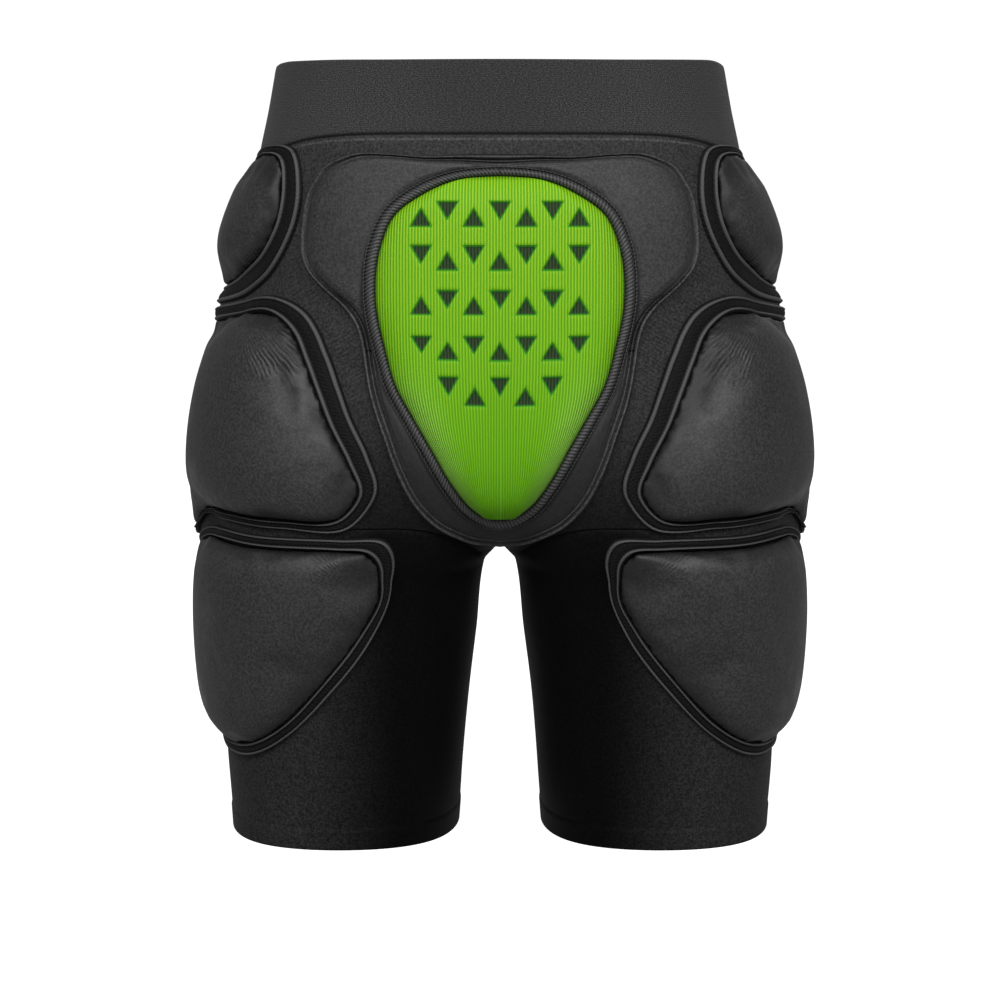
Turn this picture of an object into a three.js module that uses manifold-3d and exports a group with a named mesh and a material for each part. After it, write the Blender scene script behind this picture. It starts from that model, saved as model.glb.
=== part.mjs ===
// Padded impact shorts for skiing and snowboarding, in millimetres.
// +Z is up and the hems stand on z = 0. The wearer looks along +Y, so the seat faces -Y.
// The wearer's right is +X. Every right-hand piece is mirrored for the left.

import * as THREE from "three";
import { mergeVertices } from "three/addons/utils/BufferGeometryUtils.js";
import Module from "manifold-3d";

const wasm = await Module();
wasm.setup();

// ---- Driving dimensions ----

const LEG_LENGTH = 177; // hem to crotch
const RISE = 290; // crotch to the top of the waistband
const HIP_HALF_WIDTH = 174; // fabric only, without the side pads
const WAIST_HALF_WIDTH = 134;
const SEAT_DEPTH = 113; // side line to the back of the seat
const FRONT_DEPTH = 97; // side line to the front
const HEM_HALF_DEPTH = 82;
const HEM_OUTER = 167; // centre line to the outside of a hem
const HEM_GAP = 26; // centre line to the inside of a hem

const FABRIC = 1.6;
const SEAM_GAP = 0.5; // between two panels sewn edge to edge
const PAD_SEAT = 1.8; // from the fabric to the underside of a large pad sewn on it
const SMALL_PAD_SEAT = 1.1; // the same for the hip pads and the flat pieces on the seat
const CLEARANCE = 0.4;
const FLEX_CLEARANCE = 0.7; // above and below the bending band
const LINING_CLEARANCE = 0.8; // behind the waistband

const WAISTBAND_HEIGHT = 40; // at the centre back
const WAISTBAND_DIP = 20; // how much lower its seam runs at the sides
const WAISTBAND_WALL = 1.8;
const LINING_WALL = 0.8;
const HEM_HEIGHT = 14;
const HEM_WALL = 2.4;

const COVER = 1.2; // fabric cover over a foam pad
const FLANGE = 1.6; // stitched edge around a pad
const HIP_PAD_RISE = 17;
const THIGH_PAD_RISE = 17;
const LOWER_PAD_RISE = 17;
const SEAT_PAD_RISE = 8; // above its own edge
const SEAT_PAD_EDGE = 3.6;
const CRESCENT_RISE = 3;
const TAILBONE_FOAM_RISE = 15;
const TAILBONE_MESH = 0.8;
const BINDING_RISE = 6;

const TRIANGLE_SIDE = 10;
const TRIANGLE_PITCH_X = 14.4;
const TRIANGLE_PERIOD_Z = 49;

// ---- Heights worked out from them ----

const CROTCH_Z = LEG_LENGTH;
const TOP_Z = LEG_LENGTH + RISE;
const WAIST_SEAM_Z = TOP_Z - WAISTBAND_HEIGHT;
const FLEX_Z = CROTCH_Z + 18; // the channel where the leg bends
const FLEX_GAP = 4; // half the channel at the back and side
const FRONT_FLEX_GAP = 26; // half the channel at the front, where bending closes it
const INNER_FLEX_DROP = 29; // how far the channel drops at the inseam

// ---- The body surface ----

const SQUARENESS = 0.12; // 0 is an ellipse

// Loops of the right half from hem to waist. outer: centre line to the side. centre: middle of
// the loop. gap: centre line to the inseam. Above the crotch the centre plane cuts the loop.
const CROTCH_Y = SEAT_DEPTH - 13;
const NO_GAP = -100; // the loop is centred on the body
const WIDEST = HIP_HALF_WIDTH;
const mix = THREE.MathUtils.lerp;
const onLeg = (share) => mix(HEM_OUTER, WIDEST, share); // side line from the hem up to the hips
const onHip = (share) => mix(WAIST_HALF_WIDTH, WIDEST, share); // and from the waist down to them
const MEAN_HEM = (HEM_OUTER + HEM_GAP) / 2;
const STATIONS = [
  // height, outer, centre, gap, back, front
  [0, HEM_OUTER, MEAN_HEM, HEM_GAP, HEM_HALF_DEPTH, HEM_HALF_DEPTH - 2],
  [LEG_LENGTH * 0.34, onLeg(1 / 2), 95.5, 21.2, HEM_HALF_DEPTH + 4, HEM_HALF_DEPTH + 2],
  [LEG_LENGTH * 0.68, onLeg(5 / 7), 93, 14.6, HEM_HALF_DEPTH + 9, HEM_HALF_DEPTH + 6],
  [CROTCH_Z - 12, onLeg(13 / 14), 91, 9.7, CROTCH_Y - 3, FRONT_DEPTH - 6],
  [CROTCH_Z, WIDEST, 88, 0, CROTCH_Y, FRONT_DEPTH - 5],
  [CROTCH_Z + 23, WIDEST, 76, -18, CROTCH_Y + 6, FRONT_DEPTH - 3],
  [CROTCH_Z + 63, onHip(0.975), 44, -56, SEAT_DEPTH, FRONT_DEPTH],
  [CROTCH_Z + 103, onHip(0.8), 14, -86, SEAT_DEPTH, FRONT_DEPTH + 1],
  [CROTCH_Z + RISE * 0.46, onHip(0.625), 0, NO_GAP, SEAT_DEPTH - 2, FRONT_DEPTH + 1],
  [CROTCH_Z + RISE * 0.66, onHip(0.4125), 0, NO_GAP, SEAT_DEPTH - 7, FRONT_DEPTH - 1],
  [CROTCH_Z + RISE * 0.81, onHip(0.275), 0, NO_GAP, SEAT_DEPTH - 14, FRONT_DEPTH - 4],
  [TOP_Z - 27, onHip(0.125), 0, NO_GAP, SEAT_DEPTH - 18, FRONT_DEPTH - 7],
  [TOP_Z, WAIST_HALF_WIDTH, 0, NO_GAP, SEAT_DEPTH - 21, FRONT_DEPTH - 9],
].map(([z, outer, centre, gap, back, front]) => ({ z, outer, centre, gap, back, front }));

const smooth = THREE.MathUtils.smoothstep;
const clamp = THREE.MathUtils.clamp;

// A value between the stations, on a curve that is smooth from one to the next.
function between(z, field) {
  const last = STATIONS.length - 1;
  const height = clamp(z, 0, TOP_Z);
  let i = 0;
  while (i < last - 1 && STATIONS[i + 1].z < height) i += 1;
  const slope = (k) => {
    const a = STATIONS[Math.max(k - 1, 0)];
    const b = STATIONS[Math.min(k + 1, last)];
    return (b[field] - a[field]) / (b.z - a.z);
  };
  const span = STATIONS[i + 1].z - STATIONS[i].z;
  const t = (height - STATIONS[i].z) / span;
  return (
    (2 * t ** 3 - 3 * t ** 2 + 1) * STATIONS[i][field] +
    (t ** 3 - 2 * t ** 2 + t) * span * slope(i) +
    (3 * t ** 2 - 2 * t ** 3) * STATIONS[i + 1][field] +
    (t ** 3 - t ** 2) * span * slope(i + 1)
  );
}

function section(z) {
  const centre = Math.max(between(z, "centre"), 0);
  return {
    outer: between(z, "outer"),
    centre,
    inner: centre - Math.min(between(z, "gap"), centre - 1),
    back: between(z, "back"),
    front: between(z, "front"),
  };
}

// How far the valley between the two halves is filled, just above the crotch.
function valley(z) {
  const rise = clamp((z - CROTCH_Z) / 60, 0, 1);
  return 0.5 * section(z).centre * rise ** 0.7;
}

function loopDepth(s, angle) {
  const c = Math.cos(angle);
  const d = Math.sin(angle);
  return -(d >= 0 ? s.back : s.front) * d * (1 + SQUARENESS * c * c);
}

// A point of the right half's fabric. angle is measured from the side line: positive towards the
// back, negative towards the front, and half a turn at the inseam.
function onFabric(z, angle) {
  const s = section(z);
  const c = Math.cos(angle);
  const width = c >= 0 ? s.outer - s.centre : s.inner;
  const x = s.centre + width * c * (1 + SQUARENESS * Math.sin(angle) ** 2);
  const fill = valley(z);
  if (fill < 0.1) return new THREE.Vector3(x, loopDepth(s, angle), z);
  const reach = Math.abs(x);
  const eased = reach + fill * Math.exp(-reach / fill) * (1 - reach / s.outer);
  return new THREE.Vector3(x, loopDepth(s, Math.sign(angle) * angleAt(z, eased)), z);
}

// The same point, lifted off the fabric along its outward normal.
function lifted(z, angle, lift) {
  const step = 0.5;
  const turn = 0.01;
  const up = onFabric(Math.min(z + step, TOP_Z), angle).sub(onFabric(Math.max(z - step, 0), angle));
  const round = onFabric(z, angle - turn).sub(onFabric(z, angle + turn));
  return onFabric(z, angle).add(round.cross(up).normalize().multiplyScalar(lift));
}

// The angle at which the loop at height z is x away from the centre plane, from 0 to half a turn.
function angleAt(z, x) {
  const s = section(z);
  const share = (x - s.centre) / (x >= s.centre ? s.outer - s.centre : s.inner);
  if (share >= 1) return 0;
  if (share <= -1) return Math.PI;
  let low = -1;
  let high = 1;
  for (let i = 0; i < 40; i += 1) {
    const c = (low + high) / 2;
    if (c * (1 + SQUARENESS * (1 - c * c)) < share) low = c;
    else high = c;
  }
  return Math.acos((low + high) / 2);
}

// A point of the whole back at x and z, on either side of the centre plane.
function onBack(x, z, lift) {
  const side = x < 0 ? -1 : 1;
  const point = lifted(z, angleAt(z, Math.abs(x)), lift);
  return Math.abs(x) < 0.01 ? point.setX(0) : point.setX(point.x * side);
}

// ---- Turning three.js primitives into fitted solids ----

// Moves every vertex of a primitive with place(x, y, z), and leaves a closed mesh facing outwards.
function shaped(primitive, place) {
  const bare = primitive.clone();
  bare.deleteAttribute("normal");
  bare.deleteAttribute("uv");
  const geometry = mergeVertices(bare, 1e-4);
  const position = geometry.attributes.position;
  for (let i = 0; i < position.count; i += 1) {
    const p = place(position.getX(i), position.getY(i), position.getZ(i));
    position.setXYZ(i, p.x, p.y, p.z);
  }
  return facingOut(geometry);
}

function facingOut(geometry) {
  const position = geometry.attributes.position;
  const index = geometry.index.array;
  const corner = (k) => new THREE.Vector3().fromBufferAttribute(position, index[k]);
  let volume = 0;
  for (let i = 0; i < index.length; i += 3) {
    volume += corner(i).dot(corner(i + 1).cross(corner(i + 2)));
  }
  for (let i = 0; volume < 0 && i < index.length; i += 3) {
    [index[i + 1], index[i + 2]] = [index[i + 2], index[i + 1]];
  }
  return geometry;
}

// A sheet with thickness. place gets along and across from 0 to 1, and 0 or 1 for its two faces.
function slab(alongSteps, acrossSteps, place) {
  const box = new THREE.BoxGeometry(1, 1, 1, alongSteps, acrossSteps, 1);
  return shaped(box, (x, y, z) => place(x + 0.5, y + 0.5, z + 0.5));
}

// A closed band. place gets the share of a turn, the height from 0 to 1, and 0 or 1 for its faces.
function ring(steps, heightSteps, place) {
  const profile = [];
  for (let i = 0; i <= heightSteps; i += 1) profile.push(new THREE.Vector2(2, i / heightSteps));
  for (let i = heightSteps; i >= 0; i -= 1) profile.push(new THREE.Vector2(1, i / heightSteps));
  profile.push(profile[0].clone());
  return shaped(new THREE.LatheGeometry(profile, steps), (x, y, z) =>
    place(turnShare(x, z, steps), y, Math.round(Math.hypot(x, z)) - 1),
  );
}

// A dome. place gets the share of a turn, the distance from the middle from 0 to 1, and its level.
function dome(steps, profile, place) {
  const points = profile.map(([radius, level]) => new THREE.Vector2(radius, level));
  return shaped(new THREE.LatheGeometry(points, steps), (x, y, z) =>
    place(turnShare(x, z, steps), Math.hypot(x, z), y),
  );
}

function turnShare(x, z, steps) {
  const share = Math.round((Math.atan2(x, z) / (2 * Math.PI)) * steps) / steps;
  return (share + 1) % 1;
}

// ---- Building the assembly ----

const shorts = new THREE.Group();
shorts.name = "padded_impact_shorts";

const MATERIALS = {
  stretch_fabric: { color: 0x1b1b1c, roughness: 0.75, metalness: 0 },
  pad_cover: { color: 0x2e2e2f, roughness: 0.68, metalness: 0 },
  flange_fabric: { color: 0x202021, roughness: 0.6, metalness: 0 },
  waist_elastic: { color: 0x2c2c2d, roughness: 0.85, metalness: 0 },
  waist_lining: { color: 0x1a1a1b, roughness: 0.9, metalness: 0 },
  hem_tape: { color: 0x18181a, roughness: 0.8, metalness: 0 },
  black_foam: { color: 0x232426, roughness: 0.95, metalness: 0 },
  green_foam: { color: 0x5da417, roughness: 0.8, metalness: 0 },
  green_mesh: { color: 0x7cba1d, roughness: 0.6, metalness: 0 },
  binding_tape: { color: 0x38383a, roughness: 0.55, metalness: 0 },
};
const finishes = Object.fromEntries(
  Object.entries(MATERIALS).map(([name, look]) => {
    return [name, new THREE.MeshStandardMaterial({ name, ...look })];
  }),
);

function addMiddle(name, finish, geometry) {
  const mesh = new THREE.Mesh(geometry, finishes[finish]);
  mesh.name = name;
  shorts.add(mesh);
}

function addPair(name, finish, geometry) {
  for (const [side, sign] of [["right", 1], ["left", -1]]) {
    const mesh = new THREE.Mesh(facingOut(geometry.clone().scale(sign, 1, 1)), finishes[finish]);
    mesh.name = `${name}_${side}`;
    shorts.add(mesh);
  }
}

// ---- Seam lines ----

const RADIUS_AT_SEAM = 100;
const SEAM_TURN = SEAM_GAP / 2 / RADIUS_AT_SEAM;

// Lower edge of the waistband. It dips at the sides.
function waistSeam(angle) {
  return WAIST_SEAM_Z - WAISTBAND_DIP * Math.max(Math.cos(angle), 0) ** 6;
}

// Middle of the channel where the leg bends: level round the outside, lower at the inseam.
function flexLine(angle) {
  const inwards = angle > 0 ? smooth(angle, 1.7, 3.0) : smooth(-angle, 1.5, 2.7);
  return FLEX_Z - INNER_FLEX_DROP * inwards;
}

function flexHalfGap(angle) {
  const forward = smooth(-Math.sin(angle), 0.05, 0.95);
  return mix(FLEX_GAP, FRONT_FLEX_GAP, forward);
}

const hipsRim = (angle) => flexLine(angle) + flexHalfGap(angle);
const legRim = (angle) => flexLine(angle) - flexHalfGap(angle);

// ---- Fabric panels ----

// Half of the back or of the front, from the side line to the centre line. Each row of the sheet
// ends at the inseam below the crotch and at the centre line above it.
function hipsPanel(direction) {
  const rowPoint = (angle, across) =>
    mix(hipsRim(angle), waistSeam(angle) - SEAM_GAP / 2, across ** 1.5);
  const rowEnd = (across) => {
    let z = hipsRim(Math.PI);
    let end = Math.PI;
    for (let i = 0; i < 40; i += 1) {
      end = z > CROTCH_Z ? angleAt(z, SEAM_GAP / 2) : Math.PI - SEAM_TURN;
      z = mix(z, rowPoint(direction * end, across), 0.4);
    }
    return end;
  };
  return slab(12, 9, (along, across, face) => {
    const angle = direction * mix(SEAM_TURN, rowEnd(across), along);
    return lifted(rowPoint(angle, across), angle, -FABRIC * (1 - face));
  });
}

function legPanel(direction) {
  return slab(12, 5, (along, across, face) => {
    const angle = direction * mix(SEAM_TURN, Math.PI - SEAM_TURN, along);
    const z = mix(HEM_HEIGHT + SEAM_GAP / 2, legRim(angle), across);
    return lifted(z, angle, -FABRIC * (1 - face));
  });
}

addPair("back_panel", "stretch_fabric", hipsPanel(1));
addPair("front_panel", "stretch_fabric", hipsPanel(-1));
addPair("leg_back_panel", "stretch_fabric", legPanel(1));
addPair("leg_front_panel", "stretch_fabric", legPanel(-1));

// The stretch band that bridges the channel, so that the leg can bend.
addPair(
  "leg_flex_band",
  "stretch_fabric",
  ring(24, 2, (turn, height, face) => {
    const angle = (turn <= 0.5 ? turn : turn - 1) * 2 * Math.PI;
    const z = mix(legRim(angle) + FLEX_CLEARANCE, hipsRim(angle) - FLEX_CLEARANCE, height);
    return lifted(z, angle, -FABRIC * (1 - face));
  }),
);

addPair(
  "leg_hem",
  "hem_tape",
  ring(24, 1, (turn, height, face) => {
    const rise = HEM_HEIGHT * height;
    return lifted(rise, turn * 2 * Math.PI, face * 0.4 - HEM_WALL * (1 - face)).setZ(rise);
  }),
);

// ---- Waistband ----

// The whole waist as one loop: share 0 is the right side line, and it runs round by the back.
function onWaist(share, z, lift) {
  const turn = share * 2 * Math.PI;
  const x = Math.cos(turn);
  const angle = Math.atan2(Math.sin(turn), Math.abs(x));
  const point = lifted(z, angle, lift);
  if (Math.abs(x) < 1e-6) return point.setX(0);
  return point.setX(point.x * Math.sign(x));
}

function waistRing(steps, heightSteps, low, high, inside, outside) {
  return ring(steps, heightSteps, (turn, height, face) => {
    const angle = Math.acos(Math.abs(Math.cos(turn * 2 * Math.PI)));
    return onWaist(turn, mix(low(angle), high(angle), height), face ? outside : inside);
  });
}

const seamAbove = (angle) => waistSeam(angle) + SEAM_GAP / 2;
const bandTop = () => TOP_Z;
addMiddle("waistband", "waist_elastic", waistRing(48, 2, seamAbove, bandTop, -WAISTBAND_WALL, 0));
addMiddle(
  "waistband_lining",
  "waist_lining",
  waistRing(
    48,
    2,
    (angle) => waistSeam(angle) + 3,
    () => TOP_Z - 3,
    -WAISTBAND_WALL - LINING_CLEARANCE - LINING_WALL,
    -WAISTBAND_WALL - LINING_CLEARANCE,
  ),
);
addMiddle(
  "waist_seam_tape",
  "hem_tape",
  waistRing(
    48,
    1,
    (angle) => waistSeam(angle) - 5,
    (angle) => waistSeam(angle) + 2.4,
    -WAISTBAND_WALL - LINING_CLEARANCE - LINING_WALL,
    -WAISTBAND_WALL - LINING_CLEARANCE,
  ),
);

// ---- Side pads ----

// Outlines are seen from the side: how far round towards the back, in millimetres of girth, and
// the height. Heights are counted from the bending channel or from the waist seam.
const GIRTH_PER_TURN = 2 * Math.PI * 125;

function closedOutline(points, level) {
  return new THREE.CatmullRomCurve3(
    points.map(([girth, height]) => new THREE.Vector3(girth, level + height, 0)),
    true,
    "centripetal",
  );
}

// A ring of places evenly spaced along an inner outline, and the places opposite on the outer one.
const nearSpot = (inner, turn) => inner.getPoint(inner.getUtoTmapping(turn));
const farSpot = (inner, outer, turn) => outer.getPoint(inner.getUtoTmapping(turn));

const fromWaist = WAIST_SEAM_Z;
const fromFlex = FLEX_Z;

const HIP_PAD = {
  edge: closedOutline(
    [[72, -14], [78, -30], [75, -52], [60, -71], [30, -83], [-4, -94], [-40, -96], [-66, -80],
      [-74, -52], [-52, -28], [0, -20], [46, -11]],
    fromWaist,
  ),
  seam: closedOutline(
    [[82, -9], [91, -30], [88, -54], [70, -80], [38, -94], [-2, -104], [-43, -106], [-76, -88],
      [-86, -50], [-60, -20], [0, -13], [50, -6]],
    fromWaist,
  ),
  rise: HIP_PAD_RISE,
  seat: SMALL_PAD_SEAT,
};
const THIGH_PAD = {
  edge: closedOutline(
    [[78, 128], [96, 120], [112, 100], [138, 66], [160, 43], [177, 23], [174, 10], [134, 7], [70, 7],
      [22, 3], [6, -9], [-10, -10], [-28, 6], [-54, 34], [-78, 68], [-66, 102], [-14, 112], [40, 124]],
    fromFlex,
  ),
  seam: closedOutline(
    [[80, 136], [104, 128], [122, 104], [146, 70], [168, 46], [186, 23], [184, 5], [136, 2.8],
      [70, 2.8], [14, -1], [1, -13.5], [-13, -15], [-36, 0], [-64, 30], [-88, 66], [-75, 109],
      [-15, 119], [40, 132]],
    fromFlex,
  ),
  rise: THIGH_PAD_RISE,
  seat: PAD_SEAT,
};
const LOWER_PAD = {
  edge: closedOutline(
    [[60, -8.5], [120, -8], [180, -7.5], [206, -9.5], [222, -22], [226, -38], [212, -60], [185, -88],
      [150, -116], [112, -131], [70, -134], [24, -128], [-24, -114], [-50, -96], [-56, -76],
      [-38, -56], [-14, -40], [4, -27], [22, -14]],
    fromFlex,
  ),
  seam: closedOutline(
    [[60, -3.5], [120, -3], [182, -2.5], [214, -4], [231, -20], [234, -38], [220, -64], [190, -95],
      [152, -123], [112, -138], [68, -141], [20, -136], [-30, -121], [-59, -100], [-66, -74],
      [-45, -49], [-19, -34], [0, -22], [20, -9]],
    fromFlex,
  ),
  rise: LOWER_PAD_RISE,
  seat: PAD_SEAT,
};

const SECTORS = 28;
const PILLOW = 3.4; // higher is flatter on top and steeper at the edge

function pillow(distance) {
  return (1 - Math.min(distance, 1) ** PILLOW) ** 0.6;
}

function padMiddle(pad) {
  const sum = new THREE.Vector3();
  for (let i = 0; i < SECTORS; i += 1) sum.add(nearSpot(pad.edge, i / SECTORS));
  return sum.divideScalar(SECTORS);
}

function onPad(spot, lift) {
  return lifted(spot.y, (spot.x / GIRTH_PER_TURN) * 2 * Math.PI, lift);
}

function underCover(pad, radius) {
  return (pad.rise - COVER) * pillow(radius / 0.975);
}

// The cover is an open-backed shell, the foam fills it, and the flange is stitched round it.
function padCover(pad) {
  const middle = padMiddle(pad);
  const outside = [0, 0.35, 0.62, 0.84, 0.96, 1].map((r) => [r, 1]);
  const inside = [0.975, 0.9, 0.62, 0.35, 0].map((r) => [r, 0]);
  return dome(SECTORS, [...outside, ...inside], (turn, radius, outer) => {
    const spot = middle.clone().lerp(nearSpot(pad.edge, turn), radius);
    const lift = outer ? pad.rise * pillow(radius) : underCover(pad, radius);
    return onPad(spot, pad.seat + lift);
  });
}

function padFoam(pad) {
  const middle = padMiddle(pad);
  const underside = [0, 0.25, 0.5, 0.72, 0.93].map((r) => [r, 0]);
  const top = [0.9, 0.62, 0.35, 0].map((r) => [r, 1]);
  return dome(SECTORS, [...underside, ...top], (turn, radius, upper) => {
    const spot = middle.clone().lerp(nearSpot(pad.edge, turn), radius);
    const lift = upper ? underCover(pad, radius) - CLEARANCE : 0.8;
    return onPad(spot, pad.seat + lift);
  });
}

function padFlange(pad) {
  return ring(SECTORS, 1, (turn, height, face) => {
    const near = nearSpot(pad.edge, turn);
    const far = farSpot(pad.edge, pad.seam, turn);
    const clear = CLEARANCE / near.distanceTo(far);
    const spot = near.lerp(far, mix(Math.min(clear * 1.5, 0.4), 1, height));
    return onPad(spot, pad.seat + FLANGE * face);
  });
}

const SIDE_PADS = { hip_pad: HIP_PAD, thigh_pad: THIGH_PAD, lower_pad: LOWER_PAD };
for (const [name, pad] of Object.entries(SIDE_PADS)) {
  addPair(`${name}_cover`, "pad_cover", padCover(pad));
  addPair(`${name}_foam`, "black_foam", padFoam(pad));
  addPair(`${name}_flange`, "flange_fabric", padFlange(pad));
}

// ---- Seat pad, crescent panel and tailbone pad ----

// Half outlines on the back, from the centre line at the top to the centre line at the bottom:
// distance from the centre line, and height above the crotch.
function halfOutline(points) {
  const curve = new THREE.CatmullRomCurve3(
    points.map(([x, height]) => new THREE.Vector3(x, CROTCH_Z + height, 0)),
    false,
    "centripetal",
  );
  return (share) => curve.getPoint(share);
}

const seatTopEdge = halfOutline([
  [0, 237], [44, 236], [80, 238], [100, 230], [111, 208], [114, 184], [109, 169], [93, 153], [84, 137],
  [79.5, 118],
]);
const seatInnerEdge = halfOutline([
  [0, 230], [28, 227], [54, 215], [70, 195], [78, 172], [79.5, 150], [77.5, 133], [74, 118],
]);
const crescentOuter = halfOutline([
  [78.5, 115], [74.5, 97], [67, 77], [59, 56], [48, 36], [32, 20], [15, 12], [0, 9.5],
]);
const crescentInner = halfOutline([
  [73.5, 114], [66, 98], [55, 83], [44.3, 63.5], [34, 44.5], [22.5, 31.5], [10.5, 25], [0, 23.5],
]);
const TAILBONE_EDGE = [
  [0, 224.5], [25, 221.5], [44, 213], [59, 200], [67, 184], [69.5, 168], [69, 148], [65, 127],
  [59, 105], [49, 86], [39, 68], [29, 51], [19, 38.5], [9, 31.5], [0, 29.5],
];
const BINDING_EDGE = [
  [0, 229], [28, 226], [53, 214], [69, 194.5], [77, 172], [78.3, 150], [76, 131], [71.5, 116],
  [64, 100], [53, 85], [42.5, 65], [32.5, 46.5], [21.5, 33.5], [10, 27.2], [0, 25.7],
];

// Both halves of an outline as one closed curve.
function wholeOutline(half) {
  const left = half.slice(1, -1).map(([x, height]) => [-x, height]).reverse();
  return closedOutline([...half, ...left], CROTCH_Z);
}
const tailboneEdge = wholeOutline(TAILBONE_EDGE);
const bindingEdge = wholeOutline(BINDING_EDGE);

// A band between two half outlines, mirrored about the centre line and in one piece. start is 1 or
// -1, the side it begins on: a foam begins opposite its cover, so that their facets run alike.
function backBand(start, acrossSteps, inner, outer, lift) {
  return slab(40, acrossSteps, (along, across, face) => {
    const share = Math.abs(along * 2 - 1);
    const side = start * Math.sign(along * 2 - 1);
    const spot = inner(share).lerp(outer(share), across);
    return onBack(spot.x * side, spot.y, SMALL_PAD_SEAT + lift(across, face, 1 - share ** 3));
  });
}

// Height across a band, from 0 at its edges. The taper lowers it towards the band's tips.
const crown = (across) => Math.sin(Math.PI * clamp(across, 0, 1)) ** 0.5;
addMiddle(
  "seat_pad_cover",
  "pad_cover",
  backBand(1, 4, seatInnerEdge, seatTopEdge, (across, face, taper) => {
    const roof = SEAT_PAD_EDGE + SEAT_PAD_RISE * crown(across) * taper;
    return face ? roof : roof - COVER;
  }),
);
addMiddle(
  "seat_pad_foam",
  "black_foam",
  backBand(-1, 4, seatInnerEdge, seatTopEdge, (across, face, taper) => {
    const roof = SEAT_PAD_EDGE + SEAT_PAD_RISE * crown(across) * taper - COVER;
    return face ? roof - 3 * CLEARANCE : 0;
  }),
);

// The crescent starts and ends beside the seat pad's tips, and passes under the tailbone pad.
const crescentAt = (curve) => (share) => curve(1 - share);
addMiddle(
  "seat_crescent_panel",
  "stretch_fabric",
  backBand(1, 3, crescentAt(crescentInner), crescentAt(crescentOuter), (across, face, taper) =>
    face ? 1.2 + CRESCENT_RISE * crown(across) * taper : 0,
  ),
);

const tailboneMiddle = new THREE.Vector3(0, CROTCH_Z + 140, 0);

function underMesh(radius) {
  return mix(2, TAILBONE_FOAM_RISE + CLEARANCE, pillow(radius / 0.985)) + CLEARANCE;
}

function tailboneFoam() {
  const underside = [0, 0.3, 0.6, 0.95].map((r) => [r, 0]);
  const top = [0.92, 0.75, 0.4, 0].map((r) => [r, 1]);
  return dome(40, [...underside, ...top], (turn, radius, upper) => {
    const spot = tailboneMiddle.clone().lerp(nearSpot(tailboneEdge, turn), radius);
    const lift = upper ? underMesh(radius) - CLEARANCE : 1.2;
    return onBack(spot.x, spot.y, PAD_SEAT + lift);
  });
}

// Centres of the triangular vents, and whether each points up.
function ventSpots() {
  const spots = [];
  const firstDown = CROTCH_Z + 206;
  for (let column = -3; column <= 3; column += 1) {
    const odd = Math.abs(column) % 2 === 1;
    const rows = odd
      ? [[-7, true], [-24, false], [-56, true], [-75, false], [-107, true]]
      : [[0, false], [-31, true], [-49, false], [-82, true], [-98, false]];
    for (const [drop, up] of rows) {
      const wide = Math.abs(column) === 3 && drop < -TRIANGLE_PERIOD_Z * 2;
      if (!wide) spots.push({ x: column * TRIANGLE_PITCH_X, z: firstDown + drop, up });
    }
  }
  return spots;
}

function triangleCutter(spot) {
  const radius = TRIANGLE_SIDE / Math.sqrt(3);
  const shape = new THREE.Shape();
  for (let i = 0; i < 3; i += 1) {
    const turn = Math.PI / 2 + (i * 2 * Math.PI) / 3 + (spot.up ? 0 : Math.PI);
    if (i === 0) shape.moveTo(radius * Math.cos(turn), radius * Math.sin(turn));
    else shape.lineTo(radius * Math.cos(turn), radius * Math.sin(turn));
  }
  const depth = TAILBONE_FOAM_RISE * 2;
  const prism = new THREE.ExtrudeGeometry(shape, { depth, bevelEnabled: false });
  const middle = onBack(spot.x, spot.z, PAD_SEAT);
  const outwards = onBack(spot.x, spot.z, 10).sub(middle).normalize();
  const across = new THREE.Vector3(0, 0, 1).cross(outwards).normalize();
  const upwards = outwards.clone().cross(across);
  const frame = new THREE.Matrix4().makeBasis(across, upwards, outwards).setPosition(
    middle.addScaledVector(outwards, -depth / 2.5),
  );
  return prism.applyMatrix4(frame);
}

function toManifold(geometry) {
  const bare = geometry.clone();
  bare.deleteAttribute("normal");
  bare.deleteAttribute("uv");
  const merged = facingOut(mergeVertices(bare, 1e-4));
  return new wasm.Manifold(
    new wasm.Mesh({
      numProp: 3,
      vertProperties: merged.attributes.position.array,
      triVerts: new Uint32Array(merged.index.array),
    }),
  );
}

function fromManifold(solid) {
  const mesh = solid.getMesh();
  const geometry = new THREE.BufferGeometry();
  geometry.setAttribute("position", new THREE.BufferAttribute(mesh.vertProperties, 3));
  geometry.setIndex(new THREE.BufferAttribute(mesh.triVerts, 1));
  return geometry;
}

let perforated = toManifold(tailboneFoam());
for (const spot of ventSpots()) perforated = perforated.subtract(toManifold(triangleCutter(spot)));
addMiddle("tailbone_foam", "green_foam", fromManifold(perforated));

function tailboneMesh() {
  const outside = [0, 0.4, 0.75, 0.92, 1].map((r) => [r, 1]);
  const inside = [0.985, 0.92, 0.75, 0.4, 0].map((r) => [r, 0]);
  return dome(40, [...outside, ...inside], (turn, radius, outer) => {
    const spot = tailboneMiddle.clone().lerp(nearSpot(tailboneEdge, turn), radius);
    const roof = TAILBONE_FOAM_RISE + CLEARANCE + TAILBONE_MESH;
    const lift = outer ? mix(2, roof, pillow(radius)) + CLEARANCE : underMesh(radius);
    return onBack(spot.x, spot.y, PAD_SEAT + lift);
  });
}
addMiddle("tailbone_mesh", "green_mesh", tailboneMesh());

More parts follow.
